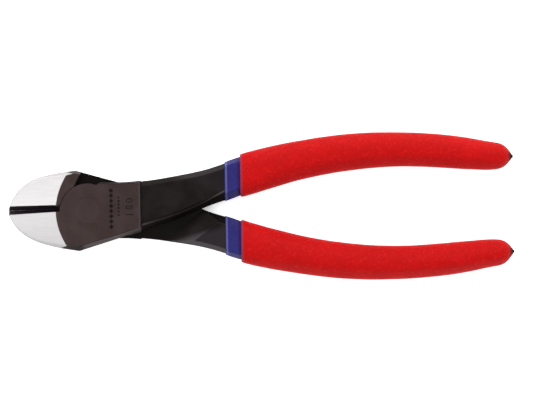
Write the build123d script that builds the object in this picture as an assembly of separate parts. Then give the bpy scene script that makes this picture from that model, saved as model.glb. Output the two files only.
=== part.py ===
"""Diagonal cutting pliers with dipped grips, as separate pieces round one rivet.

Frame: millimetres, +X from the jaws to the handles, +Y to the upper handle and
+Z out of the front face. The origin is on the rivet's axis, in the rear joint face.
"""
import os

from build123d import *

# Joint
THICKNESS = 11.0          # over the two ground joint faces
LAP_Z = THICKNESS / 2     # plane where the two halves lap
LAP_GAP = 0.03            # each half stands this far off the lap plane
DISC_RADIUS = 9.8         # round joint boss of each half
DISC_GAP = 0.1            # round the boss, in the other half's jaw
EDGE_GAP = 0.01           # each cutting edge stands this far off the middle

# Rivet, ground flush with both joint faces
RIVET_RADIUS = 3.5
RIVET_HEAD_RADIUS = 4.6
RIVET_HEAD_DEPTH = 1.6
RIVET_CLEARANCE = 0.05    # radial, in the half that turns on it

# Cutting edges: one straight line, a little above the axis
CUT_AT_ORIGIN = 0.94      # its height over the rivet's axis
CUT_SLOPE = 0.0207

# Softened edges of the forgings
FACE_ROUND = 0.25         # round the ground joint face
DISC_ROUND = 0.12         # round the joint boss
END_ROUND = 0.6           # back end of the joint face
JAW_ROUND = 0.3           # outer edges of the ground jaw faces
PARTING_ROUND = 0.4       # widest line of the jaw's side

# Jaws: outer profile from the tip to the heel corner, one for each half.
# Both are written for a jaw below the X axis.
TIP_X = -28.4
FRONT_JAW = [(TIP_X, -1.2), (-27.6, -3.1), (-25.2, -6.4), (-21.0, -9.7),
             (-15.5, -12.0), (-9.2, -13.5), (-3.3, -14.5)]
REAR_JAW = [(TIP_X, -1.2), (-27.6, -3.5), (-25.2, -7.2), (-21.0, -10.8),
            (-15.5, -12.8), (-9.8, -13.9), (-4.2, -14.5)]
# Inset of the forging at the joint face's level, at each of those points
FRONT_DRAFT = [0.4, 0.4, 0.5, 0.7, 0.9, 1.3, 1.8]
REAR_DRAFT = [0.4, 0.4, 0.4, 0.5, 0.8, 1.2, 1.0]
GRIND_ANGLE = 8.3         # slope of the ground jaw faces towards the tip
GRIND_RADIUS = 145.0      # crown of the ground jaw faces
GRIND_START_X = -11.2     # where the ground face leaves the joint face
FRONT_BEVEL = (1.50, 0.85)   # width of the cutting bevel at the tip and at the boss
REAR_BEVEL = (1.68, 1.50)
BEVEL_HEIGHT = 2.0
BEVEL_END_X = -8.0

# Boss plate behind the jaw
HEEL = (12.4, -9.7)       # where the plate's lower edge meets the handle
HEEL_TOP = (12.2, -8.5)
BOSS_END_X = 19.2
BOSS_END_LOW, BOSS_END_LOW_TOP = -8.0, -6.2
BOSS_END_HIGH, BOSS_END_HIGH_TOP = 10.6, 10.1
BOSS_BACK_START, BOSS_BACK_MIDDLE = (4.0, 10.5), (10.8, 10.1)
BOSS_BACK_DRAFT = 0.5
SHOULDER = [(2.9, 8.83), (6.5, 11.26)]   # stop face beside the round boss
JAW_WALL = [(-4.83, -8.58), (-0.8, -16.5)]

# Forged handle: (x, inner edge, outer edge, half thickness) at the lap plane
STEEL = [(12.4, -9.0, 9.5, 4.0), (19.2, -7.8, 10.3, 4.0), (28.5, -4.8, 11.5, 4.0),
         (37.2, -1.7, 13.0, 4.0), (43.0, 0.7, 14.3, 4.0), (49.4, 2.8, 16.3, 4.0),
         (57.0, 5.4, 18.9, 4.0), (70.0, 9.3, 21.6, 3.9), (87.0, 13.1, 24.1, 3.7),
         (105.0, 15.2, 25.1, 3.6), (123.0, 15.0, 24.4, 3.5), (137.0, 14.0, 22.6, 3.4),
         (147.0, 14.0, 20.4, 3.2)]
STEEL_SLANT_IN, STEEL_SLANT_OUT = 2.8, 1.7   # slanted sides of the forging
STEEL_CORNER = 0.5
RAMP_TOP = [(35.5, 13.2), (50.5, 2.5)]       # edge where the lap ramp reaches full depth
RAMP_RUN, RAMP_DEPTH = 7.0, 4.0

# Far outside the forging, for cutting tools and areas
FAR_LEFT, FAR_RIGHT, FAR_LOW, FAR_HIGH = -30.0, 25.0, -20.0, 20.0

# Dipped grips: (x, inner edge, outer edge, half thickness)
UNDER_START, OUTER_START = 49.4, 55.0
UNDER = [(UNDER_START, 2.5, 16.7, 4.35), (OUTER_START, 4.45, 18.6, 4.4), (70.0, 8.9, 22.0, 4.3),
         (87.0, 12.7, 24.5, 4.1), (105.0, 14.8, 25.5, 4.0), (123.0, 14.6, 24.8, 3.9),
         (137.0, 13.6, 23.0, 3.8), (146.5, 13.4, 20.9, 3.5), (149.4, 15.0, 19.4, 2.0)]
OUTER = [(OUTER_START, 3.65, 19.05, 5.0), (58.3, 4.5, 20.35, 5.3), (70.0, 7.85, 23.05, 5.5),
         (87.0, 11.6, 25.7, 5.5), (105.0, 13.65, 26.7, 5.5), (123.0, 13.5, 26.0, 5.4),
         (137.5, 12.4, 24.2, 5.2), (145.0, 12.0, 22.6, 4.9)]
OUTER_END = [(148.3, 12.7, 21.5, 4.1), (150.5, 14.1, 20.1, 2.8), (152.0, 15.6, 18.6, 1.4),
             (152.8, 16.5, 17.7, 0.6)]
OUTER_SLANT_IN, OUTER_SLANT_OUT, OUTER_CORNER = 3.1, 2.1, 1.8
OUTER_ROUNDING_RUN = 20.0
UPPER_COAT_EXTRA = 0.4    # the upper grip's second coat is thicker on its inner side
NIB_RADIUS = 0.6          # drip left at the end of the first dip
NIB_Y, NIB_END_X, NIB_LENGTH = 17.1, 153.2, 6.0


def side_section(x, low, high, half_depth, slant_in, slant_out, corner):
    """A six-sided forged section across X, its corners rounded."""
    outline = Polyline((low, 0), (low + slant_in, half_depth), (high - slant_out, half_depth),
                       (high, 0), (high - slant_out, -half_depth),
                       (low + slant_in, -half_depth), close=True)
    face = make_face(outline)
    face = fillet(face.vertices(), corner)
    plane = Plane(origin=(x, 0, LAP_Z), x_dir=(0, 1, 0), z_dir=(1, 0, 0))
    return plane * face


def steel_section(x, low, high, half_depth):
    return side_section(x, low, high, half_depth, STEEL_SLANT_IN, STEEL_SLANT_OUT, STEEL_CORNER)


def under_section(x, low, high, half_depth):
    slim = min(1.0, (high - low) / 7)
    return side_section(x, low, high, half_depth, STEEL_SLANT_IN * slim,
                        STEEL_SLANT_OUT * slim, 0.8 * slim)


def outer_section(x, low, high, half_depth):
    """Close to the coat below at the mouth, and rounder past it."""
    rounder = min((x - OUTER_START) / OUTER_ROUNDING_RUN, 1.0)
    slim = min(1.0, (high - low) / 11)
    slant_in = (OUTER_SLANT_IN + 0.5 * rounder) * slim
    slant_out = (OUTER_SLANT_OUT + 1.1 * rounder) * slim
    return side_section(x, low, high, half_depth, slant_in, slant_out,
                        (OUTER_CORNER + 0.6 * rounder) * slim)


def inset(points, amounts):
    """Move an open run of points up and inwards, square to the run."""
    moved = []
    for here, ((x, y), amount) in enumerate(zip(points, amounts)):
        before = Vector(points[max(here - 1, 0)])
        after = Vector(points[min(here + 1, len(points) - 1)])
        along = (after - before).normalized()
        moved.append((x - along.Y * amount, y + along.X * amount))
    return moved


def blank_outline(jaw, end_x, heel, end_low, end_high, back_drop, z):
    """Closed outline of the forging's head at one level."""
    corner = jaw[-1]
    back_start, back_middle = (Vector(*point) - Vector(0, back_drop)
                               for point in (BOSS_BACK_START, BOSS_BACK_MIDDLE))
    run = Spline(*jaw) + Line(corner, heel) + Line(heel, (end_x, end_low))
    run += Line((end_x, end_low), (end_x, end_high))
    run += ThreePointArc((end_x, end_high), back_middle, back_start)
    above_back, above_tip = (back_start.X, FAR_HIGH), (jaw[0][0], FAR_HIGH)
    run += Line(back_start, above_back) + Line(above_back, above_tip) + Line(above_tip, jaw[0])
    return Pos(0, 0, z) * make_face(run)


def head_blank(jaw, draft):
    """Drafted forging of the head, widest at the lap plane."""
    middle = blank_outline(jaw, BOSS_END_X, HEEL, BOSS_END_LOW, BOSS_END_HIGH, 0, LAP_Z)
    top = blank_outline(inset(jaw, draft), BOSS_END_X, HEEL_TOP, BOSS_END_LOW_TOP,
                        BOSS_END_HIGH_TOP, BOSS_BACK_DRAFT, THICKNESS)
    front = loft([middle, top], ruled=True)
    rear = mirror(front, Plane.XY.offset(LAP_Z))
    return front, rear


def cut_y(x, side):
    """Height of the cutting line: side is 1 in the front half and -1 in the rear half."""
    return side * (CUT_AT_ORIGIN + CUT_SLOPE * x)


def plate_area(side):
    """Plan of the half-thickness plate: boss, jaw root and shoulder."""
    edge = [(x, cut_y(x, side) - EDGE_GAP) for x in (FAR_LEFT, 0)]
    jaw_side = make_face(Polyline(*edge, (0, FAR_LOW), (FAR_LEFT, FAR_LOW), close=True))
    handle_side = make_face(Polyline((0, FAR_LOW), (0, 0), *SHOULDER, (FAR_RIGHT, 12.0),
                                     (FAR_RIGHT, FAR_LOW), close=True))
    return Circle(DISC_RADIUS) + jaw_side + handle_side


def jaw_area(side):
    """Plan of the full-thickness jaw, clear of the other half's boss."""
    edge = [(x, cut_y(x, side) - EDGE_GAP) for x in (FAR_LEFT, -4)]
    jaw = make_face(Polyline(*edge, *JAW_WALL, (FAR_LEFT, FAR_LOW), close=True))
    return jaw - Circle(DISC_RADIUS + DISC_GAP)


def grinding_tool():
    """Everything outside the crowned ground face at the front of the jaws."""
    reach = 60
    crown = Rot(0, 90, 0) * Cylinder(GRIND_RADIUS, reach)
    block = Pos(0, 0, GRIND_RADIUS) * Box(reach, reach, reach / 2)
    tool = Pos(-22, 0, -GRIND_RADIUS) * (block - crown)
    return Pos(GRIND_START_X, 0, THICKNESS) * Rot(0, -GRIND_ANGLE, 0) * tool


def bevel_section(x, width, side):
    """Section of the groove: upright behind the edge line, sloping on the jaw's side."""
    edge, top = cut_y(x, side), THICKNESS + 1 - LAP_Z
    outline = Polyline((edge, 0), (edge - width, BEVEL_HEIGHT), (edge - width, top),
                       (edge + 1, top), (edge + 1, 0), close=True)
    plane = Plane(origin=(x, 0, LAP_Z), x_dir=(0, 1, 0), z_dir=(1, 0, 0))
    return plane * make_face(outline)


def bevel_tool(widths, side):
    """Groove that leaves one cutting edge at mid depth, on the front side."""
    tip_width, boss_width = widths
    return loft([bevel_section(TIP_X - 1, tip_width, side),
                 bevel_section(BEVEL_END_X, boss_width, side)], ruled=True)


def rivet(clearance=0.0):
    """Shank with a countersunk head at each face."""
    shank = RIVET_RADIUS + clearance
    head = RIVET_HEAD_RADIUS + clearance
    rim = 0.5
    profile = Polyline((0, 0), (head, 0), (head, rim), (shank, RIVET_HEAD_DEPTH),
                       (shank, THICKNESS - RIVET_HEAD_DEPTH), (head, THICKNESS - rim),
                       (head, THICKNESS), (0, THICKNESS), close=True)
    face = Plane.XZ * make_face(profile)
    return revolve(face, Axis.Z)


def ramp_tool():
    """Cuts the handle's rear half away, up to a ramp beside the other half."""
    start, end = Vector(RAMP_TOP[0]), Vector(RAMP_TOP[1])
    along = (end - start).normalized()
    across = Vector(along.Y, -along.X)      # from the ramp towards the head
    if across.X > 0:
        across = across * -1
    foot = Vector(start.X, start.Y, LAP_Z + LAP_GAP) + across * RAMP_RUN
    plane = Plane(origin=foot, x_dir=across, z_dir=along)
    sign = 1 if plane.y_dir.Z > 0 else -1
    length, reach = 60, LAP_Z + 2
    profile = Polyline((0, 0), (length, 0), (length, -sign * reach),
                       (-RAMP_RUN * reach / RAMP_DEPTH, -sign * reach), close=True)
    return extrude(plane * make_face(profile), amount=length, both=True)


def edges_inside(shape, low, high, shortest):
    """Edges whose middle lies in a box, and which are longer than the least length."""
    found = []
    for edge in shape.edges():
        middle = edge.center()
        inside = all(a <= b <= c for a, b, c in zip(low, middle, high))
        if inside and edge.length > shortest:
            found.append(edge)
    return found


def softened(half):
    """The half with its jaw side, jaw faces and joint face rounded over."""
    jaw_low, jaw_high, jaw_length = (-26, -14), (-10, -5), 16
    side = edges_inside(half, (*jaw_low, LAP_Z - 0.1), (*jaw_high, LAP_Z + 0.1), jaw_length)
    half = half.fillet(PARTING_ROUND, side)
    for low_z, high_z in ((LAP_Z + 2, THICKNESS + 0.1), (-0.1, LAP_Z - 2)):
        rim = edges_inside(half, (*jaw_low, low_z), (*jaw_high, high_z), jaw_length)
        half = half.fillet(JAW_ROUND, rim)
    level = (THICKNESS - 0.1, THICKNESS + 0.1)
    back_end = edges_inside(half, (BOSS_END_X - 0.1, -9, level[0]),
                            (BOSS_END_X + 0.1, 11, level[1]), 5)
    half = half.fillet(END_ROUND, back_end)
    boss = edges_inside(half, (-8, 7, level[0]), (-4, 9, level[1]), 5)
    half = half.fillet(DISC_ROUND, boss)
    face = edges_inside(half, (-3.5, -13, level[0]), (BOSS_END_X - 1.5, 11, level[1]), 1.5)
    return half.fillet(FACE_ROUND, face)


def forged_half(jaw, draft, bevel_widths, side, rivet_clearance):
    """The half whose jaw is below, whose handle is above and whose lap is in front."""
    front_blank, rear_blank = head_blank(jaw, draft)
    front_layer = Pos(0, 0, LAP_Z + LAP_GAP) * extrude(plate_area(side), THICKNESS)
    rear_layer = extrude(jaw_area(side), THICKNESS)
    joined = front_blank + rear_blank
    head = (joined & front_layer) + (joined & rear_layer)
    handle = loft([steel_section(*station) for station in STEEL])
    handle -= ramp_tool()
    half = head + handle
    flip = Plane.XY.offset(LAP_Z)
    boss = Pos(0, 0, LAP_Z) * extrude(Circle(DISC_RADIUS), THICKNESS)
    bevel = bevel_tool(bevel_widths, side)
    half -= bevel - boss
    half -= mirror(bevel, flip)
    grind = grinding_tool()
    half -= grind
    half -= mirror(grind, flip)
    half = softened(half.solids()[0])
    return half - rivet(rivet_clearance)


def turned_over(shape):
    """The other half's place: half a turn about the X axis at the lap plane."""
    return Pos(0, 0, LAP_Z) * Rot(180, 0, 0) * Pos(0, 0, -LAP_Z) * shape


def under_solid():
    body = loft([under_section(*station) for station in UNDER])
    nib = Pos(NIB_END_X - NIB_LENGTH / 2, NIB_Y, LAP_Z) * Rot(0, 90, 0) * Cylinder(
        NIB_RADIUS, NIB_LENGTH)
    return body + nib


def outer_solid(inner_extra):
    """Second coat as a solid bar; the extra swells its inner side past the mouth."""
    body = [OUTER[0]] + [(x, low - inner_extra, high, half) for x, low, high, half in OUTER[1:]]
    end = [body[-1], *OUTER_END]
    return loft([outer_section(*station) for station in body]) + loft(
        [outer_section(*station) for station in end])


def build():
    steel_core = loft([steel_section(*station) for station in STEEL])
    under_full = under_solid()
    under = under_full - steel_core
    upper_outer = outer_solid(UPPER_COAT_EXTRA) - under_full
    lower_outer = outer_solid(0.0) - under_full
    front_half = forged_half(FRONT_JAW, FRONT_DRAFT, FRONT_BEVEL, 1, RIVET_CLEARANCE)
    rear_half = turned_over(forged_half(REAR_JAW, REAR_DRAFT, REAR_BEVEL, -1, 0.0))
    return {
        "front_half": front_half,
        "rear_half": rear_half,
        "pivot_rivet": rivet(),
        "upper_grip_underlayer": under,
        "upper_grip_outer": upper_outer,
        "lower_grip_underlayer": turned_over(under),
        "lower_grip_outer": turned_over(lower_outer),
    }


os.makedirs("parts", exist_ok=True)
for name, shape in build().items():
    export_step(shape, f"parts/{name}.step")
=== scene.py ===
"""Diagonal cutting pliers: forged halves, flush rivet and twice-dipped grips."""
import math

import bmesh
import bpy
import numpy as np
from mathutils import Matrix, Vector


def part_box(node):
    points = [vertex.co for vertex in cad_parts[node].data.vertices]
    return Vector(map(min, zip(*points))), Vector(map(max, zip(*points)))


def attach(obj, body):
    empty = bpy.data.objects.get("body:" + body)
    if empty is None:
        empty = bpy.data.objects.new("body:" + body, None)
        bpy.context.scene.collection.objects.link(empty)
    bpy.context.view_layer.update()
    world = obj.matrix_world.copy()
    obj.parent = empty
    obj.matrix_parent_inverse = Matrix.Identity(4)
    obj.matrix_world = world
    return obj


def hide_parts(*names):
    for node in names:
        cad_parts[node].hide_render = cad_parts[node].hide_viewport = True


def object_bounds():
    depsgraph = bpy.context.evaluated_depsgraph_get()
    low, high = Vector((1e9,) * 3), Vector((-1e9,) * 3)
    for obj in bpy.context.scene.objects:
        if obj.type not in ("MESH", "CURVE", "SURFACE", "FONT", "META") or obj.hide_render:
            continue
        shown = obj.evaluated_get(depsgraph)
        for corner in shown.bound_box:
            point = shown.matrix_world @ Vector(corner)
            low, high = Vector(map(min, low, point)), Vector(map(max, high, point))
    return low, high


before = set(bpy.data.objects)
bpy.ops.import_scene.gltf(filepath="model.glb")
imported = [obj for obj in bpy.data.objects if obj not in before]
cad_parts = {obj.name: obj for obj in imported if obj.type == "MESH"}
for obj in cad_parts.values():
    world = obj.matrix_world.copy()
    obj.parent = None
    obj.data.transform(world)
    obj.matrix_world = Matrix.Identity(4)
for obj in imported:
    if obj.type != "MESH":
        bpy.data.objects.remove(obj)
cad_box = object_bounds()
MM = 0.001

FRONT_FACE_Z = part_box("pivot_rivet")[1].z
REAR_FACE_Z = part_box("pivot_rivet")[0].z
LAP_Z = (FRONT_FACE_Z + REAR_FACE_Z) / 2

# ---------------------------------------------------------------- camera, floor and light

VIEW_WIDTH = 199.4 * MM          # width of view at the lap plane
VIEW_CENTRE = (68.05 * MM, -0.14 * MM)
VIEW_ROLL = math.radians(-0.94)
CAMERA_HEIGHT = 1.3
SENSOR = 36.0
FLOOR_GLOW = 0.7                 # keeps the floor pale round the tool
COVER_REACH = 12 * MM            # no glow where the tool covers the floor within this


def add_camera():
    data = bpy.data.cameras.new("camera")
    data.sensor_width = SENSOR
    data.lens = SENSOR * CAMERA_HEIGHT / VIEW_WIDTH
    data.clip_start = 0.01
    data.clip_end = 10
    camera = bpy.data.objects.new("camera", data)
    camera.location = (*VIEW_CENTRE, LAP_Z + CAMERA_HEIGHT)
    camera.rotation_euler = (0, 0, VIEW_ROLL)
    bpy.context.collection.objects.link(camera)
    bpy.context.scene.camera = camera


def add_area_light(name, place, target, size, power):
    data = bpy.data.lights.new(name, "AREA")
    data.shape = "RECTANGLE"
    data.size, data.size_y = size
    data.energy = power
    light = bpy.data.objects.new(name, data)
    light.location = place
    light.rotation_euler = (Vector(target) - Vector(place)).to_track_quat("-Z", "Y").to_euler()
    bpy.context.collection.objects.link(light)


def add_floor():
    bpy.ops.mesh.primitive_plane_add(size=6, location=(0.07, 0, cad_box[0].z))
    floor = bpy.context.active_object
    floor.name = "floor"
    material = bpy.data.materials.new("pale_floor")
    material.use_nodes = True
    shader = material.node_tree.nodes["Principled BSDF"]
    shader.inputs["Base Color"].default_value = (0.93, 0.93, 0.93, 1)
    shader.inputs["Roughness"].default_value = 0.9
    shader.inputs["Specular IOR Level"].default_value = 0.0
    shader.inputs["Emission Color"].default_value = (1, 1, 1, 1)
    nodes = Nodes(material.node_tree)
    open_sky = nodes.add("ShaderNodeAmbientOcclusion", samples=8)
    nodes.feed(open_sky.inputs["Distance"], COVER_REACH)
    glow = nodes.product(nodes.between(open_sky.outputs["AO"], 0.05, 0.3), FLOOR_GLOW)
    nodes.feed(shader.inputs["Emission Strength"], glow)
    floor.data.materials.append(material)


def add_light():
    scene = bpy.context.scene
    scene.view_settings.view_transform = "Standard"
    world = bpy.data.worlds.new("studio")
    world.use_nodes = True
    background = world.node_tree.nodes["Background"]
    background.inputs["Color"].default_value = (1, 1, 1, 1)
    background.inputs["Strength"].default_value = 0.44
    scene.world = world
    middle = (0.06, 0, 0)
    add_area_light("top_softbox", (0.12, 0.85, 0.8), middle, (1.4, 0.5), 10.2)
    add_area_light("jaw_softbox", (-0.46, 0.0, 1.0), middle, (0.42, 0.9), 2.2)
    add_area_light("low_fill", (0.1, -0.9, 0.5), middle, (1.0, 0.3), 2.4)
    add_area_light("tip_softbox", (0.42, 0.25, 0.55), (0.16, 0, 0), (0.3, 0.5), 1.3)


# ---------------------------------------------------------------- shader helpers


class Nodes:
    """Adds and joins shader nodes in one tree."""

    def __init__(self, tree):
        self.tree = tree

    def add(self, kind, **settings):
        node = self.tree.nodes.new(kind)
        for key, value in settings.items():
            setattr(node, key, value)
        return node

    def feed(self, socket, value):
        """Joins a socket to another, or sets its value."""
        if isinstance(value, bpy.types.NodeSocket):
            self.tree.links.new(value, socket)
        elif isinstance(value, (tuple, list)) and len(value) == 3 and socket.type == "RGBA":
            socket.default_value = (*value, 1)
        else:
            socket.default_value = value

    def math(self, operation, *values, clamp=False):
        node = self.add("ShaderNodeMath", operation=operation, use_clamp=clamp)
        for socket, value in zip(node.inputs, values):
            self.feed(socket, value)
        return node.outputs[0]

    def product(self, first, *others):
        for value in others:
            first = self.math("MULTIPLY", first, value)
        return first

    def between(self, value, low, high):
        """0 up to low, 1 from high, smooth between."""
        node = self.add("ShaderNodeMapRange", interpolation_type="SMOOTHSTEP")
        self.feed(node.inputs["Value"], value)
        self.feed(node.inputs["From Min"], low)
        self.feed(node.inputs["From Max"], high)
        return node.outputs["Result"]

    def mix(self, factor, first, second):
        node = self.add("ShaderNodeMix", data_type="RGBA")
        self.feed(node.inputs["Factor"], factor)
        self.feed(node.inputs[6], first)
        self.feed(node.inputs[7], second)
        return node.outputs[2]

    def blend(self, factor, first, second):
        """Mixes two numbers."""
        node = self.add("ShaderNodeMix", data_type="FLOAT")
        self.feed(node.inputs["Factor"], factor)
        self.feed(node.inputs[2], first)
        self.feed(node.inputs[3], second)
        return node.outputs[0]

    def noise(self, vector, scale, detail=2.0, roughness=0.5):
        node = self.add("ShaderNodeTexNoise")
        self.feed(node.inputs["Vector"], vector)
        self.feed(node.inputs["Scale"], scale)
        self.feed(node.inputs["Detail"], detail)
        self.feed(node.inputs["Roughness"], roughness)
        return node.outputs["Fac"]

    def group(self, tree, **values):
        node = self.add("ShaderNodeGroup", node_tree=tree)
        for key, value in values.items():
            self.feed(node.inputs[key.replace("_", " ")], value)
        return node


def new_group(name, inputs, outputs):
    """An empty shader group; inputs are (name, kind, value) and outputs (name, kind)."""
    tree = bpy.data.node_groups.new(name, "ShaderNodeTree")
    for label, kind, value in inputs:
        socket = tree.interface.new_socket(label, in_out="INPUT", socket_type=kind)
        if value is not None:
            socket.default_value = value
    for label, kind in outputs:
        tree.interface.new_socket(label, in_out="OUTPUT", socket_type=kind)
    nodes = Nodes(tree)
    return nodes, nodes.add("NodeGroupInput"), nodes.add("NodeGroupOutput"), tree


def worn_highlight_edge_group():
    """Mask of convex edges, broken up by a fine noise: edge wear, and a painted highlight along
    the rounded edges.
    """
    nodes, source, result, tree = new_group(
        "worn_highlight_edges",
        [("Radius", "NodeSocketFloat", 0.3 * MM), ("Breakup", "NodeSocketFloat", 900.0)],
        [("Mask", "NodeSocketFloat")])
    bevel = nodes.add("ShaderNodeBevel", samples=6)
    nodes.feed(bevel.inputs["Radius"], source.outputs["Radius"])
    geometry = nodes.add("ShaderNodeNewGeometry")
    dot = nodes.add("ShaderNodeVectorMath", operation="DOT_PRODUCT")
    nodes.feed(dot.inputs[0], bevel.outputs["Normal"])
    nodes.feed(dot.inputs[1], geometry.outputs["Normal"])
    bent = nodes.between(dot.outputs["Value"], 0.99, 0.86)
    place = nodes.add("ShaderNodeTexCoord").outputs["Object"]
    chips = nodes.noise(place, source.outputs["Breakup"], 3)
    chip_mask = nodes.between(chips, 0.35, 0.6)
    nodes.feed(result.inputs["Mask"], nodes.product(bent, chip_mask))
    return tree


def grain_group():
    """Fine grain as a height and a value, from two sizes of noise."""
    nodes, source, result, tree = new_group(
        "fine_grain",
        [("Scale", "NodeSocketFloat", 1500.0), ("Coarse share", "NodeSocketFloat", 0.4),
         ("Stretch", "NodeSocketVector", (1, 1, 1))],
        [("Height", "NodeSocketFloat"), ("Value", "NodeSocketFloat")])
    place = nodes.add("ShaderNodeTexCoord").outputs["Object"]
    stretched = nodes.add("ShaderNodeVectorMath", operation="MULTIPLY")
    nodes.feed(stretched.inputs[0], place)
    nodes.feed(stretched.inputs[1], source.outputs["Stretch"])
    fine = nodes.noise(stretched.outputs[0], source.outputs["Scale"], 2)
    coarse_scale = nodes.math("MULTIPLY", source.outputs["Scale"], 0.28)
    coarse = nodes.noise(stretched.outputs[0], coarse_scale, 2)
    both = nodes.blend(source.outputs["Coarse share"], fine, coarse)
    nodes.feed(result.inputs["Height"], both)
    nodes.feed(result.inputs["Value"], nodes.between(both, 0.3, 0.7))
    return tree


def start_material(name):
    material = bpy.data.materials.new(name)
    material.use_nodes = True
    nodes = Nodes(material.node_tree)
    return material, nodes, material.node_tree.nodes["Principled BSDF"]


def add_bump(nodes, shader, height, distance, strength=1.0):
    bump = nodes.add("ShaderNodeBump")
    nodes.feed(bump.inputs["Strength"], strength)
    nodes.feed(bump.inputs["Distance"], distance)
    nodes.feed(bump.inputs["Height"], height)
    nodes.feed(shader.inputs["Normal"], bump.outputs["Normal"])


# ---------------------------------------------------------------- finishes, with painted shade and highlights

GRIND_START_X = -11.2 * MM       # ground jaw faces begin at this arc
GRIND_ARC = 23.7                 # its curve, per metre
# Where the bright sides end and the heel's lighter draft begins, at mid depth, by jaw side
GROUND_SIDES = {-1: (-10.0 * MM, -2.6 * MM), 1: (-7.5 * MM, -9.0 * MM)}
SIDE_SLANT = 0.5                 # their end slants forward towards mid depth
BOSS_REACH = 11.2 * MM           # just outside the round boss
CUT_AT_ORIGIN, CUT_SLOPE = 0.94 * MM, 0.0207   # the line where the cutting edges meet
BRIGHT = (0.66, 0.645, 0.65)
BRIGHT_SHADE = (0.56, 0.545, 0.555)
BEVEL_REACH = 1.9 * MM           # the cutting bevels lie within this of the cutting line
BEVEL_END_X = -9.6 * MM          # and run out here
BEVEL_TAPER = 0.6
# The cutting bevels are painted dark, a painted shade in the slit between the jaws.
BEVEL_PAINTED_SHADE = (0.092, 0.070, 0.083)
# Painted light: a brown lightened so the steep bevel ends look as lit as the joint face.
BEVEL_END_LIT_BROWN = (0.26, 0.20, 0.20)
LOWER_JAW_PAINTED_SHADE = 0.88           # painted shade: the jaw below the axis is painted a little darker, as if less lit
JOINT_BROWN = (0.043, 0.0275, 0.0270)
JOINT_LIGHT = (0.058, 0.0400, 0.0390)
OXIDE = (0.0100, 0.0074, 0.0074)
OXIDE_LIGHT = (0.0175, 0.0138, 0.0138)
# painted shade on faces near the lap plane
OXIDE_PAINTED_SHADE = (0.0042, 0.0030, 0.0030)
# edge wear, and a painted highlight on convex edges
EDGE_WEAR_AND_HIGHLIGHT = (0.16, 0.14, 0.14)
# Painted light: a lighter patch on the handles, lighter still on their slanted faces.
PAINTED_LIGHT = (0.0270, 0.0220, 0.0255)
PAINTED_LIGHT_SLANT = (0.062, 0.054, 0.059)
PAINTED_LIGHT_AMOUNT = {-1: 0.3, 1: 1.0}     # by jaw side
LIGHT_LINE_X, LIGHT_LINE_Y, LIGHT_LINE_SLOPE = 34 * MM, 9.7 * MM, 0.29   # handles are painted lighter outside this line, a painted pool of light
INNER_EDGE = (-7.2 * MM, -0.021, 6.0)   # the painted highlight line, a quadratic in X, in metres
PAINTED_EDGE_HIGHLIGHT = (0.072, 0.066, 0.057)
HEEL = (0.070, 0.056, 0.058)
EDGE_TINT = (0.45, 0.43, 0.43, 1)
OXIDE_ROUGHNESS, JOINT_ROUGHNESS, JAW_ROUGHNESS = 0.52, 0.42, 0.40
OXIDE_METALLIC = 0.85
STEEL_BUMP = 0.06 * MM
GROUND_RELIEF = 0.35             # ground faces' relief, as a share of the forging's


class Surface:
    """Sockets that say where a shaded point lies on a forging."""

    def __init__(self, nodes):
        self.place = nodes.add("ShaderNodeTexCoord").outputs["Object"]
        parts = nodes.add("ShaderNodeSeparateXYZ")
        nodes.feed(parts.inputs[0], self.place)
        self.x, self.y, z = parts.outputs
        facing = nodes.add("ShaderNodeSeparateXYZ")
        nodes.feed(facing.inputs[0], nodes.add("ShaderNodeNewGeometry").outputs["True Normal"])
        self.up = nodes.math("ABSOLUTE", facing.outputs["Z"])
        self.off_middle = nodes.math("ABSOLUTE", nodes.math("SUBTRACT", z, LAP_Z))
        cut_line = nodes.math("MULTIPLY_ADD", self.x, CUT_SLOPE, CUT_AT_ORIGIN)
        self.from_cut = nodes.math("ABSOLUTE", nodes.math("SUBTRACT", self.y, cut_line))


def ground_jaw_mask(nodes, at, joint, side_start_x):
    """The jaw's faces and sides ahead of the boss, apart from the cutting bevels."""
    y_squared = nodes.math("MULTIPLY", at.y, at.y)
    arc = nodes.math("MULTIPLY_ADD", y_squared, GRIND_ARC, GRIND_START_X)
    ahead = nodes.between(nodes.math("SUBTRACT", arc, at.x), 0.0, 0.15 * MM)
    face = nodes.product(ahead, nodes.between(at.up, 0.90, 0.95))
    side_arc = nodes.math("MULTIPLY_ADD", at.off_middle, SIDE_SLANT, side_start_x)
    from_pivot = nodes.math("ADD", nodes.math("MULTIPLY", at.x, at.x), y_squared)
    side = nodes.product(nodes.between(nodes.math("SUBTRACT", side_arc, at.x), 0.0, 0.5 * MM),
                         nodes.between(at.from_cut, 1.6 * MM, BEVEL_REACH),
                         nodes.math("GREATER_THAN", from_pivot, BOSS_REACH ** 2),
                         nodes.math("SUBTRACT", 1.0, joint))
    return nodes.math("MAXIMUM", face, side)


def joint_face_mask(nodes, at):
    """The joint face at full height, and the rounding at its back end."""
    half_depth = FRONT_FACE_Z - LAP_Z
    rounding = nodes.between(at.x, 17.0 * MM, 17.2 * MM)
    below = nodes.blend(rounding, 0.08 * MM, 0.65 * MM)
    level = nodes.math("GREATER_THAN", at.off_middle, nodes.math("SUBTRACT", half_depth, below))
    flat = nodes.blend(rounding, 0.985, 0.3)
    return nodes.product(level, nodes.math("GREATER_THAN", at.up, flat))


def heel_mask(nodes, at, jaw_side, start_x):
    """The drafted heel beside the joint face, behind the jaw."""
    beside = nodes.between(nodes.math("MULTIPLY", at.y, float(jaw_side)), 5 * MM, 5.5 * MM)
    behind_jaw = nodes.between(at.x, start_x, start_x + 2.1 * MM)
    before_step = nodes.between(at.x, 19.3 * MM, 19.1 * MM)
    return nodes.product(beside, nodes.between(at.up, 0.75, 0.6), behind_jaw, before_step)


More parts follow.
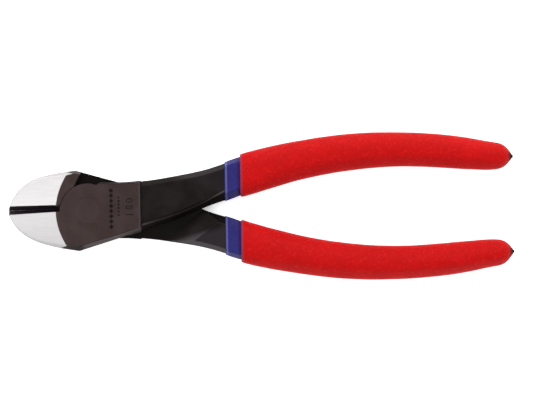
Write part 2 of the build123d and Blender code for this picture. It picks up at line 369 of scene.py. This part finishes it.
def painted_light_mask(nodes, at, jaw_side):
    """Painted light: the handle's face towards its outer edge, painted paler where the light
    falls.
    """
    outward = nodes.math("MULTIPLY", at.y, float(-jaw_side))
    light_line = nodes.math("MULTIPLY_ADD", at.x, -LIGHT_LINE_SLOPE, LIGHT_LINE_Y + LIGHT_LINE_SLOPE * LIGHT_LINE_X)
    past_line = nodes.math("SUBTRACT", outward, light_line)
    return nodes.product(nodes.between(past_line, -0.2 * MM, 2.6 * MM),
                         nodes.between(at.x, 26 * MM, 36 * MM), PAINTED_LIGHT_AMOUNT[jaw_side])


def inner_edge_highlight(nodes, at):
    """A painted highlight along the inner edge of the upper handle's face, where its rounded edge
    catches the light.
    """
    curve = nodes.math("MULTIPLY_ADD", at.x, INNER_EDGE[2], INNER_EDGE[1])
    edge_y = nodes.math("MULTIPLY_ADD", at.x, curve, INNER_EDGE[0])
    away = nodes.math("ABSOLUTE", nodes.math("SUBTRACT", at.y, edge_y))
    return nodes.product(nodes.between(away, 0.4 * MM, 0.1 * MM),
                         nodes.between(at.x, 19.2 * MM, 20.2 * MM),
                         nodes.between(at.off_middle, 2.2 * MM, 3.0 * MM),
                         nodes.between(at.up, 0.3, 0.5))


def black_oxide(nodes, at, jaw_side, patches, wear_and_highlight):
    """Colour of the unground forging, with painted shade near the lap plane, painted light on the
    handles and painted highlights on edges.
    """
    # Painted shade: the oxide is darkened on faces near the lap plane, beside and under the other
    # half.
    lap_painted_shade = nodes.product(nodes.between(at.off_middle, 2.4 * MM, 0.4 * MM),
                              nodes.between(at.up, 0.7, 0.85))
    # Painted light on the handle's face, and more on its slanted faces.
    lit_patch = painted_light_mask(nodes, at, jaw_side)
    lit_slant = nodes.product(nodes.between(at.up, 0.985, 0.95), lit_patch)
    oxide = nodes.mix(patches, OXIDE, OXIDE_LIGHT)
    oxide = nodes.mix(nodes.product(lap_painted_shade, 0.8), oxide, OXIDE_PAINTED_SHADE)
    oxide = nodes.mix(lit_patch, oxide, PAINTED_LIGHT)
    oxide = nodes.mix(lit_slant, oxide, PAINTED_LIGHT_SLANT)
    # Edge wear, also a painted highlight on the convex edges.
    oxide = nodes.mix(nodes.product(wear_and_highlight, 0.3), oxide, EDGE_WEAR_AND_HIGHLIGHT)
    # Painted highlight along the upper handle's inner edge.
    if jaw_side < 0:
        oxide = nodes.mix(inner_edge_highlight(nodes, at), oxide, PAINTED_EDGE_HIGHLIGHT)
    return oxide


def joint_brown(nodes, patches, ground):
    """Colour of the ground joint face."""
    brown = nodes.mix(patches, JOINT_BROWN, JOINT_LIGHT)
    return nodes.mix(nodes.product(ground.outputs["Value"], 0.25), brown, JOINT_LIGHT)


def bevel_painted_shade(nodes, at, bright):
    """Mask and colour of the cutting bevels: a painted shade along the slit, which runs out to a
    point at its inner end, where the bevels get the jaw's colour and a lightened brown.
    """
    mask = nodes.product(nodes.math("LESS_THAN", at.from_cut, BEVEL_REACH),
                         nodes.between(at.up, 0.90, 0.85),
                         nodes.math("LESS_THAN", at.x, BEVEL_END_X))
    taper = nodes.product(nodes.math("SUBTRACT", BEVEL_END_X, at.x), BEVEL_TAPER)
    ends = nodes.between(nodes.math("SUBTRACT", at.from_cut, taper), -0.1 * MM, 0.1 * MM)
    behind_arc = nodes.between(at.x, GRIND_START_X - 0.1 * MM, GRIND_START_X + 0.1 * MM)
    end_tone = nodes.mix(behind_arc, bright, BEVEL_END_LIT_BROWN)
    return mask, nodes.mix(ends, BEVEL_PAINTED_SHADE, end_tone)


def ground_grain(nodes, groups):
    return nodes.group(groups["grain"], Scale=900.0, Coarse_share=0.35, Stretch=(0.12, 2.2, 1))


def colour_patches(nodes, place):
    return nodes.between(nodes.noise(place, 160.0, 3), 0.3, 0.75)


def forged_steel(name, jaw_side, groups):
    """Black-oxide forging with a brown ground joint face and bright ground jaw faces, with painted
    shade and highlights in its colour.

    jaw_side is -1 where the half's jaw lies below the X axis, and 1 where above.
    """
    material, nodes, shader = start_material(name)
    at = Surface(nodes)
    side_start_x, heel_start_x = GROUND_SIDES[jaw_side]
    joint = joint_face_mask(nodes, at)
    jaw = ground_jaw_mask(nodes, at, joint, side_start_x)
    heel = heel_mask(nodes, at, jaw_side, heel_start_x)

    forged = nodes.group(groups["grain"], Scale=1400.0, Coarse_share=0.55)
    ground = ground_grain(nodes, groups)
    patches = colour_patches(nodes, at.place)
    wear_and_highlight = nodes.group(groups["wear_and_highlight"], Radius=0.35 * MM, Breakup=1100.0).outputs["Mask"]

    # Painted shade: the lower jaw's ground colour is darkened.
    shade = LOWER_JAW_PAINTED_SHADE if jaw_side < 0 else 1.0
    bright = nodes.mix(nodes.product(ground.outputs["Value"], 0.5),
                       [shade * value for value in BRIGHT],
                       [shade * value for value in BRIGHT_SHADE])
    # Painted highlight: the rounding at the joint face's back end is painted in the lighter heel
    # tone.
    back_end_highlight = nodes.between(at.x, 18.35 * MM, 18.75 * MM)
    brown = nodes.mix(back_end_highlight, joint_brown(nodes, patches, ground), HEEL)
    colour = nodes.mix(joint, black_oxide(nodes, at, jaw_side, patches, wear_and_highlight), brown)
    colour = nodes.mix(heel, colour, HEEL)
    colour = nodes.mix(jaw, colour, bright)
    # Painted shade along the slit between the jaws.
    bevelled, bevel_shade_tone = bevel_painted_shade(nodes, at, bright)
    nodes.feed(shader.inputs["Base Color"], nodes.mix(bevelled, colour, bevel_shade_tone))

    rough = nodes.blend(joint, OXIDE_ROUGHNESS, JOINT_ROUGHNESS)
    nodes.feed(shader.inputs["Roughness"], nodes.blend(jaw, rough, JAW_ROUGHNESS))
    nodes.feed(shader.inputs["Metallic"], nodes.blend(jaw, OXIDE_METALLIC, 1.0))
    shader.inputs["Specular Tint"].default_value = EDGE_TINT
    smooth = nodes.math("MAXIMUM", jaw, nodes.math("MAXIMUM", joint, heel))
    relief = nodes.blend(smooth, forged.outputs["Height"],
                         nodes.product(ground.outputs["Height"], GROUND_RELIEF))
    add_bump(nodes, shader, relief, STEEL_BUMP, 0.6)
    return material


def rivet_steel(groups):
    material, nodes, shader = start_material("rivet_face")
    ground = ground_grain(nodes, groups)
    patches = colour_patches(nodes, nodes.add("ShaderNodeTexCoord").outputs["Object"])
    nodes.feed(shader.inputs["Base Color"], joint_brown(nodes, patches, ground))
    nodes.feed(shader.inputs["Roughness"], JOINT_ROUGHNESS)
    nodes.feed(shader.inputs["Metallic"], OXIDE_METALLIC)
    relief = nodes.product(ground.outputs["Height"], GROUND_RELIEF)
    add_bump(nodes, shader, relief, STEEL_BUMP, 0.6)
    return material


BLUE = (0.016, 0.013, 0.113)
BLUE_LIGHT = (0.028, 0.028, 0.165)
# painted highlight on the rounded lip of the first dip
PAINTED_LIP_HIGHLIGHT = (0.10, 0.105, 0.27)
BLUE_SHADED = (0.022, 0.0060, 0.075)
RED = (0.52, 0.0020, 0.0022)
RED_DEEP = (0.39, 0.0014, 0.0014)
RED_PALE = (0.60, 0.012, 0.016)
# painted rim light and shade along the red lip
PAINTED_LIP_RIM = (0.24, 0.035, 0.080)
MAROON = (0.030, 0.001, 0.002)
VINYL_ROUGHNESS, VINYL_SPECULAR = 0.62, 0.09
VINYL_SHEEN, SHEEN_ROUGHNESS = 0.05, 0.4
VINYL_BUMP = 0.35 * MM


def edge_line(nodes, x, mouth_x, start, full, fade, end):
    """Mask of a line across the coat, at distances in mm behind its mouth."""
    rise = nodes.between(x, mouth_x + start * MM, mouth_x + full * MM)
    fall = nodes.between(x, mouth_x + end * MM, mouth_x + fade * MM)
    return nodes.product(rise, fall)


def dipped_vinyl(name, colours, lines, tip_x, groups, grain_scale):
    """Matt dipped coat with a sandy grain, darker where it runs out to a drip.

    lines are (colour, mouth_x, start, full, fade, end), for edge_line; they paint highlights and
    shade across the coat near the lips.
    """
    material, nodes, shader = start_material(name)
    coords = nodes.add("ShaderNodeTexCoord")
    base, second, pale, dark = colours
    grain = nodes.group(groups["grain"], Scale=grain_scale, Coarse_share=0.5)
    clouds = nodes.between(nodes.noise(coords.outputs["Object"], 90.0, 3), 0.3, 0.7)
    colour = nodes.mix(nodes.product(clouds, 0.45), base, second)
    colour = nodes.mix(nodes.product(grain.outputs["Value"], 0.6), colour, second)
    specks = nodes.between(nodes.noise(coords.outputs["Object"], 0.7 * grain_scale, 2), 0.54, 0.68)
    colour = nodes.mix(nodes.product(specks, 0.4), colour, pale)
    place = nodes.add("ShaderNodeSeparateXYZ")
    nodes.feed(place.inputs[0], coords.outputs["Object"])
    for line_colour, *line in lines:
        mask = edge_line(nodes, place.outputs["X"], *line)
        colour = nodes.mix(nodes.product(mask, 0.85), colour, line_colour)
    drip = nodes.between(place.outputs["X"], tip_x - 1.9 * MM, tip_x - 0.3 * MM)
    colour = nodes.mix(drip, colour, dark)
    nodes.feed(shader.inputs["Base Color"], colour)
    nodes.feed(shader.inputs["Roughness"], VINYL_ROUGHNESS)
    shader.inputs["Specular IOR Level"].default_value = VINYL_SPECULAR
    shader.inputs["Sheen Weight"].default_value = VINYL_SHEEN
    shader.inputs["Sheen Roughness"].default_value = SHEEN_ROUGHNESS
    add_bump(nodes, shader, grain.outputs["Height"], VINYL_BUMP, 0.8)
    return material


# ---------------------------------------------------------------- mesh helpers


MERGE_DISTANCE = 0.0005 * MM


def deselect_all():
    bpy.ops.object.select_all(action="DESELECT")


def make_active(piece):
    deselect_all()
    piece.select_set(True)
    bpy.context.view_layer.objects.active = piece


def merged_copy(node, name):
    """A CAD node's mesh as a new piece, its loose triangles welded."""
    piece = bpy.data.objects.new(name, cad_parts[node].data.copy())
    bpy.context.collection.objects.link(piece)
    piece.data.materials.clear()
    make_active(piece)
    bpy.ops.mesh.customdata_custom_splitnormals_clear()
    bpy.ops.object.mode_set(mode="EDIT")
    bpy.ops.mesh.select_all(action="SELECT")
    bpy.ops.mesh.remove_doubles(threshold=MERGE_DISTANCE)
    bpy.ops.object.mode_set(mode="OBJECT")
    return piece


def smoothed(piece, angle=28):
    """Smooth shading that leaves flat faces flat."""
    make_active(piece)
    bpy.ops.object.shade_smooth_by_angle(angle=math.radians(angle))
    apply_modifier(piece, "WEIGHTED_NORMAL", weight=90, keep_sharp=True)
    return piece


def apply_modifier(piece, kind, **settings):
    make_active(piece)
    modifier = piece.modifiers.new(kind.lower(), kind)
    for key, value in settings.items():
        setattr(modifier, key, value)
    bpy.ops.object.modifier_apply(modifier=modifier.name)


def cut_outline(node, x):
    """Middle and half sizes, in Y and Z, of a CAD node where a plane cuts it at x."""
    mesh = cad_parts[node].data
    points = np.empty(len(mesh.vertices) * 3)
    mesh.vertices.foreach_get("co", points)
    points = points.reshape(-1, 3)
    ends = np.empty(len(mesh.edges) * 2, int)
    mesh.edges.foreach_get("vertices", ends)
    first, second = points[ends[0::2]], points[ends[1::2]]
    crossing = (first[:, 0] - x) * (second[:, 0] - x) < 0
    first, second = first[crossing], second[crossing]
    share = (x - first[:, 0]) / (second[:, 0] - first[:, 0])
    cut = first + share[:, None] * (second - first)
    low, high = cut.min(0), cut.max(0)
    return (low[1] + high[1]) / 2, (high[1] - low[1]) / 2, (high[2] - low[2]) / 2


# ---------------------------------------------------------------- dipped outer coats

HEX_TOP = math.sin(math.radians(60))   # height of a unit hexagon's flat
HEX_FLAT = 0.5                         # half width of that flat
FLAT_SHARE = 0.74                      # flat of the grip's section, as a share of its width
FLAT_LEAN = 0.45 * MM                  # the flats sit this far towards the outer side
CORNER_CUT = 1.3 * MM                  # hexagon corners cut back before smoothing
SMOOTHING_SIDE = 0.72 * MM             # what the smoothing takes off a ring's sides
SMOOTHING_TOP = 0.02 * MM              # and off its flats


def select_ring_part(ring, test):
    """Selects the ring's vertices that pass the test; ring is a list of vertex numbers."""
    data = bpy.context.edit_object.data
    mesh = bmesh.from_edit_mesh(data)
    mesh.verts.ensure_lookup_table()
    for vert in mesh.verts:
        vert.select = False
    for number in ring:
        mesh.verts[number].select = test(mesh.verts[number].co)
    mesh.select_flush_mode()
    mesh.select_flush(True)
    bmesh.update_edit_mesh(data)


def selected_numbers():
    mesh = bmesh.from_edit_mesh(bpy.context.edit_object.data)
    return [vert.index for vert in mesh.verts if vert.select]


class RingBuilder:
    """Carries one six-sided ring of a tube from cut to cut, resizing it each time."""

    def __init__(self, x, outline, outward, name):
        middle, half_y, half_z = outline
        bpy.ops.mesh.primitive_circle_add(vertices=6, radius=half_y + SMOOTHING_SIDE,
                                          fill_type="NGON", location=(x, middle, LAP_Z),
                                          rotation=(0, math.pi / 2, 0))
        self.piece = bpy.context.active_object
        self.piece.name = self.piece.data.name = name
        bpy.ops.object.transform_apply(location=True, rotation=True, scale=True)
        bpy.ops.object.mode_set(mode="EDIT")
        bpy.ops.mesh.select_all(action="SELECT")
        self.x, self.middle = x, middle
        self.half_y, self.half_z = half_y + SMOOTHING_SIDE, half_z + SMOOTHING_TOP
        depth = self.half_z / (self.half_y * HEX_TOP)
        bpy.ops.transform.resize(value=(1, 1, depth), center_override=(x, middle, LAP_Z))
        self.flat = HEX_FLAT
        self.narrow_flats(FLAT_SHARE, outward * FLAT_LEAN)
        bpy.ops.mesh.bevel(offset=CORNER_CUT, affect="VERTICES", segments=1)

    def narrow_flats(self, share, lean=0.0):
        """Sets the width of the ring's flats as a share of its whole width."""
        ring = selected_numbers()
        limit = 0.4 * self.half_z
        select_ring_part(ring, lambda co: abs(co.z - LAP_Z) > limit)
        bpy.ops.transform.resize(value=(1, share / self.flat, 1),
                                 center_override=(self.x, self.middle, LAP_Z))
        bpy.ops.transform.translate(value=(0, lean, 0))
        self.flat = share
        select_ring_part(ring, lambda co: True)

    def to(self, x, outline, swell=0.0, flat=None):
        middle, half_y, half_z = outline
        half_y, half_z = half_y + SMOOTHING_SIDE + swell, half_z + SMOOTHING_TOP + swell
        move = (x - self.x, middle - self.middle, 0)
        bpy.ops.mesh.extrude_region_move(TRANSFORM_OT_translate={"value": move})
        bpy.ops.transform.resize(value=(1, half_y / self.half_y, half_z / self.half_z),
                                 center_override=(x, middle, LAP_Z))
        self.x, self.middle, self.half_y, self.half_z = x, middle, half_y, half_z
        if flat is not None:
            self.narrow_flats(flat)

    def finish(self):
        bpy.ops.mesh.select_all(action="SELECT")
        bpy.ops.mesh.normals_make_consistent(inside=False)
        bpy.ops.object.mode_set(mode="OBJECT")
        return self.piece


INNER_RINGS, BODY_RINGS = 9, 13
SOLID_END = 8 * MM       # the handle inside ends this far from the coat's end
BODY_FLAT = 0.56         # narrower flats make the coat rounder, from this far past the mouth
ROUNDING_LENGTH = 15 * MM
# The rolled lip: each ring's distance behind the mouth, that of its outline, and swell, in mm
LIP_PROFILE = [(-0.10, 0.6, -0.30), (0.05, 0.6, 0.0), (0.7, 0.7, 0.22), (1.6, 1.6, 0.16),
               (2.8, 2.8, 0.0)]
UNEVEN_SIZE, UNEVEN_HEIGHT = 7 * MM, 0.14 * MM
COAT_END = 0.15 * MM     # the coat's point beyond the end of its CAD solid
# The end of the coat: distance from its point, half width and half thickness in mm
END_PROFILE = [(4.1, 4.45, 4.2), (2.3, 3.1, 3.1), (1.2, 1.75, 2.0), (0.4, 0.55, 0.9),
               (0.0, 0.1, 0.4)]


def outer_coat(name, node, under_node, outward):
    """The second dip: a shell with a rolled lip, a soft uneven surface and an end drip."""
    mouth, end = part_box(node)[0].x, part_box(node)[1].x
    last_inner = end - SOLID_END

    def inner(x):
        return cut_outline(under_node, x)

    def outer(x):
        return cut_outline(node, x)

    deselect_all()
    rings = RingBuilder(last_inner, inner(last_inner), outward, name)
    for x in np.linspace(last_inner, mouth + 4 * MM, INNER_RINGS)[1:]:
        rings.to(float(x), inner(float(x)))
    rings.to(mouth + 1.2 * MM, inner(mouth + 1.2 * MM))
    rings.to(mouth + 0.25 * MM, inner(mouth + 0.3 * MM))
    for back, outline_back, swell in LIP_PROFILE:
        rings.to(mouth + back * MM, outer(mouth + outline_back * MM), swell * MM)
    for x in np.linspace(mouth + 5 * MM, end - SOLID_END, BODY_RINGS):
        share = min((x - mouth) / ROUNDING_LENGTH, 1.0)
        rounder = FLAT_SHARE + share * (BODY_FLAT - FLAT_SHARE)
        rings.to(float(x), outer(float(x)), 0.0, float(rounder))
    start_y, start_x = rings.middle, rings.x
    tip_x, tip_y = end + COAT_END, outer(end - 0.3 * MM)[0]
    for back, half_y, half_z in END_PROFILE:
        x = tip_x - back * MM
        share = (x - start_x) / (tip_x - start_x)
        middle = start_y + share * (tip_y - start_y)
        rings.to(x, (middle, half_y * MM, half_z * MM))
    piece = rings.finish()
    apply_modifier(piece, "SUBSURF", levels=3, render_levels=3)
    texture = bpy.data.textures.new(name + "_unevenness", "CLOUDS")
    texture.noise_scale = UNEVEN_SIZE
    apply_modifier(piece, "DISPLACE", texture=texture, strength=UNEVEN_HEIGHT, mid_level=0.5)
    make_active(piece)
    bpy.ops.object.shade_smooth()
    return piece


# ---------------------------------------------------------------- stamped marks

STAMP_DEPTH = 0.22 * MM
NUMBER_X, NUMBER_Y, NUMBER_SIZE = 16.4 * MM, 0.9 * MM, 3.7 * MM
# Rows of lozenges: X, middle Y, count, step and size in mm
LOZENGE_ROWS = [(8.6, 0.6, 8, 1.85, 1.25), (11.3, 1.4, 6, 1.25, 0.72)]


def cut_mark(piece, mark):
    apply_modifier(piece, "BOOLEAN", operation="DIFFERENCE", solver="EXACT", object=mark)
    bpy.data.objects.remove(mark)


def size_number():
    """The tool's length in millimetres, reading along +Y."""
    deselect_all()
    bpy.ops.object.text_add(location=(0, 0, 0))
    text = bpy.context.active_object
    text.data.body = "180"
    text.data.size = NUMBER_SIZE
    text.data.space_character = 1.35
    text.data.extrude = STAMP_DEPTH
    text.data.align_x = "CENTER"
    bpy.ops.object.convert(target="MESH")
    number = bpy.context.active_object
    make_active(number)
    bpy.ops.object.mode_set(mode="EDIT")
    bpy.ops.mesh.select_all(action="SELECT")
    bpy.ops.mesh.remove_doubles(threshold=MERGE_DISTANCE)
    bpy.ops.object.mode_set(mode="OBJECT")
    number.rotation_euler = (0, 0, math.pi / 2)
    number.location = (NUMBER_X, NUMBER_Y, FRONT_FACE_Z)
    bpy.ops.object.transform_apply(location=True, rotation=True, scale=True)
    return number


def lozenge_row(row_x, middle_y, count, step, size):
    """A plain row of stamped lozenges, as one cutter."""
    lozenges = []
    for place in range(count):
        y = (middle_y + (place - (count - 1) / 2) * step) * MM
        deselect_all()
        bpy.ops.mesh.primitive_cube_add(size=1, location=(row_x * MM, y, FRONT_FACE_Z))
        lozenge = bpy.context.active_object
        lozenge.scale = (size * MM, size * MM, 2 * STAMP_DEPTH)
        lozenge.rotation_euler = (0, 0, math.pi / 4)
        bpy.ops.object.transform_apply(location=True, rotation=True, scale=True)
        lozenges.append(lozenge)
    for lozenge in lozenges:
        lozenge.select_set(True)
    bpy.ops.object.join()
    return bpy.context.active_object


UNDERCOAT_ROUND = 0.22 * MM


def round_lip(piece):
    """Rounds the mouth of the first dip, where the coat was wiped off the steel."""
    make_active(piece)
    bpy.ops.object.mode_set(mode="EDIT")
    bpy.ops.mesh.select_all(action="DESELECT")
    mesh = bmesh.from_edit_mesh(piece.data)
    mouth = min(vert.co.x for vert in mesh.verts)
    for edge in mesh.edges:
        at_mouth = all(abs(vert.co.x - mouth) < 0.01 * MM for vert in edge.verts)
        edge.select = at_mouth and len(edge.link_faces) == 2 and edge.calc_face_angle() > 1.2
    mesh.select_flush_mode()
    bmesh.update_edit_mesh(piece.data)
    bpy.ops.mesh.bevel(offset=UNDERCOAT_ROUND, segments=3, affect="EDGES")
    bpy.ops.object.mode_set(mode="OBJECT")
    return piece


# ---------------------------------------------------------------- pieces


def dress(piece, material, body, node):
    piece.data.materials.clear()
    piece.data.materials.append(material)
    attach(piece, body)
    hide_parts(node)


def main():
    add_camera()
    add_floor()
    add_light()
    groups = {"wear_and_highlight": worn_highlight_edge_group(), "grain": grain_group()}

    front = merged_copy("front_half", "front_forging")
    cut_mark(front, size_number())
    for row in LOZENGE_ROWS:
        cut_mark(front, lozenge_row(*row))
    smoothed(front)
    dress(front, forged_steel("front_steel", -1, groups), "front", "front_half")
    rear = smoothed(merged_copy("rear_half", "rear_forging"))
    dress(rear, forged_steel("rear_steel", 1, groups), "rear", "rear_half")
    rivet = smoothed(merged_copy("pivot_rivet", "flush_rivet"))
    dress(rivet, rivet_steel(groups), "rear", "pivot_rivet")

    for side, body, outward in (("upper", "front", 1), ("lower", "rear", -1)):
        node, under_node = f"{side}_grip_outer", f"{side}_grip_underlayer"
        red_x, tip_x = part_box(node)[0].x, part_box(node)[1].x
        blue_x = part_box(under_node)[0].x
        # Painted highlight on the first dip's lip, and painted shade where the red lip overhangs
        # it.
        blue_lines = [(PAINTED_LIP_HIGHLIGHT, blue_x, 0.15, 0.4, 0.65, 1.1),
                      (BLUE_SHADED, red_x, -1.5, -0.4, 1.0, 2.0)]
        blue = dipped_vinyl(f"{side}_first_dip", (BLUE, BLUE_LIGHT, BLUE_LIGHT, MAROON),
                            blue_lines, tip_x, groups, 2200.0)
        under = smoothed(round_lip(merged_copy(under_node, f"{side}_undercoat")))
        dress(under, blue, body, under_node)
        # The red coat gets a painted rim light and shade along its lip.
        red = dipped_vinyl(f"{side}_second_dip", (RED, RED_DEEP, RED_PALE, MAROON),
                           [(PAINTED_LIP_RIM, red_x, -1.0, -0.5, 0.3, 1.1)], tip_x, groups, 1500.0)
        outer = outer_coat(f"{side}_outer_coat", node, under_node, outward)
        dress(outer, red, body, node)


main()
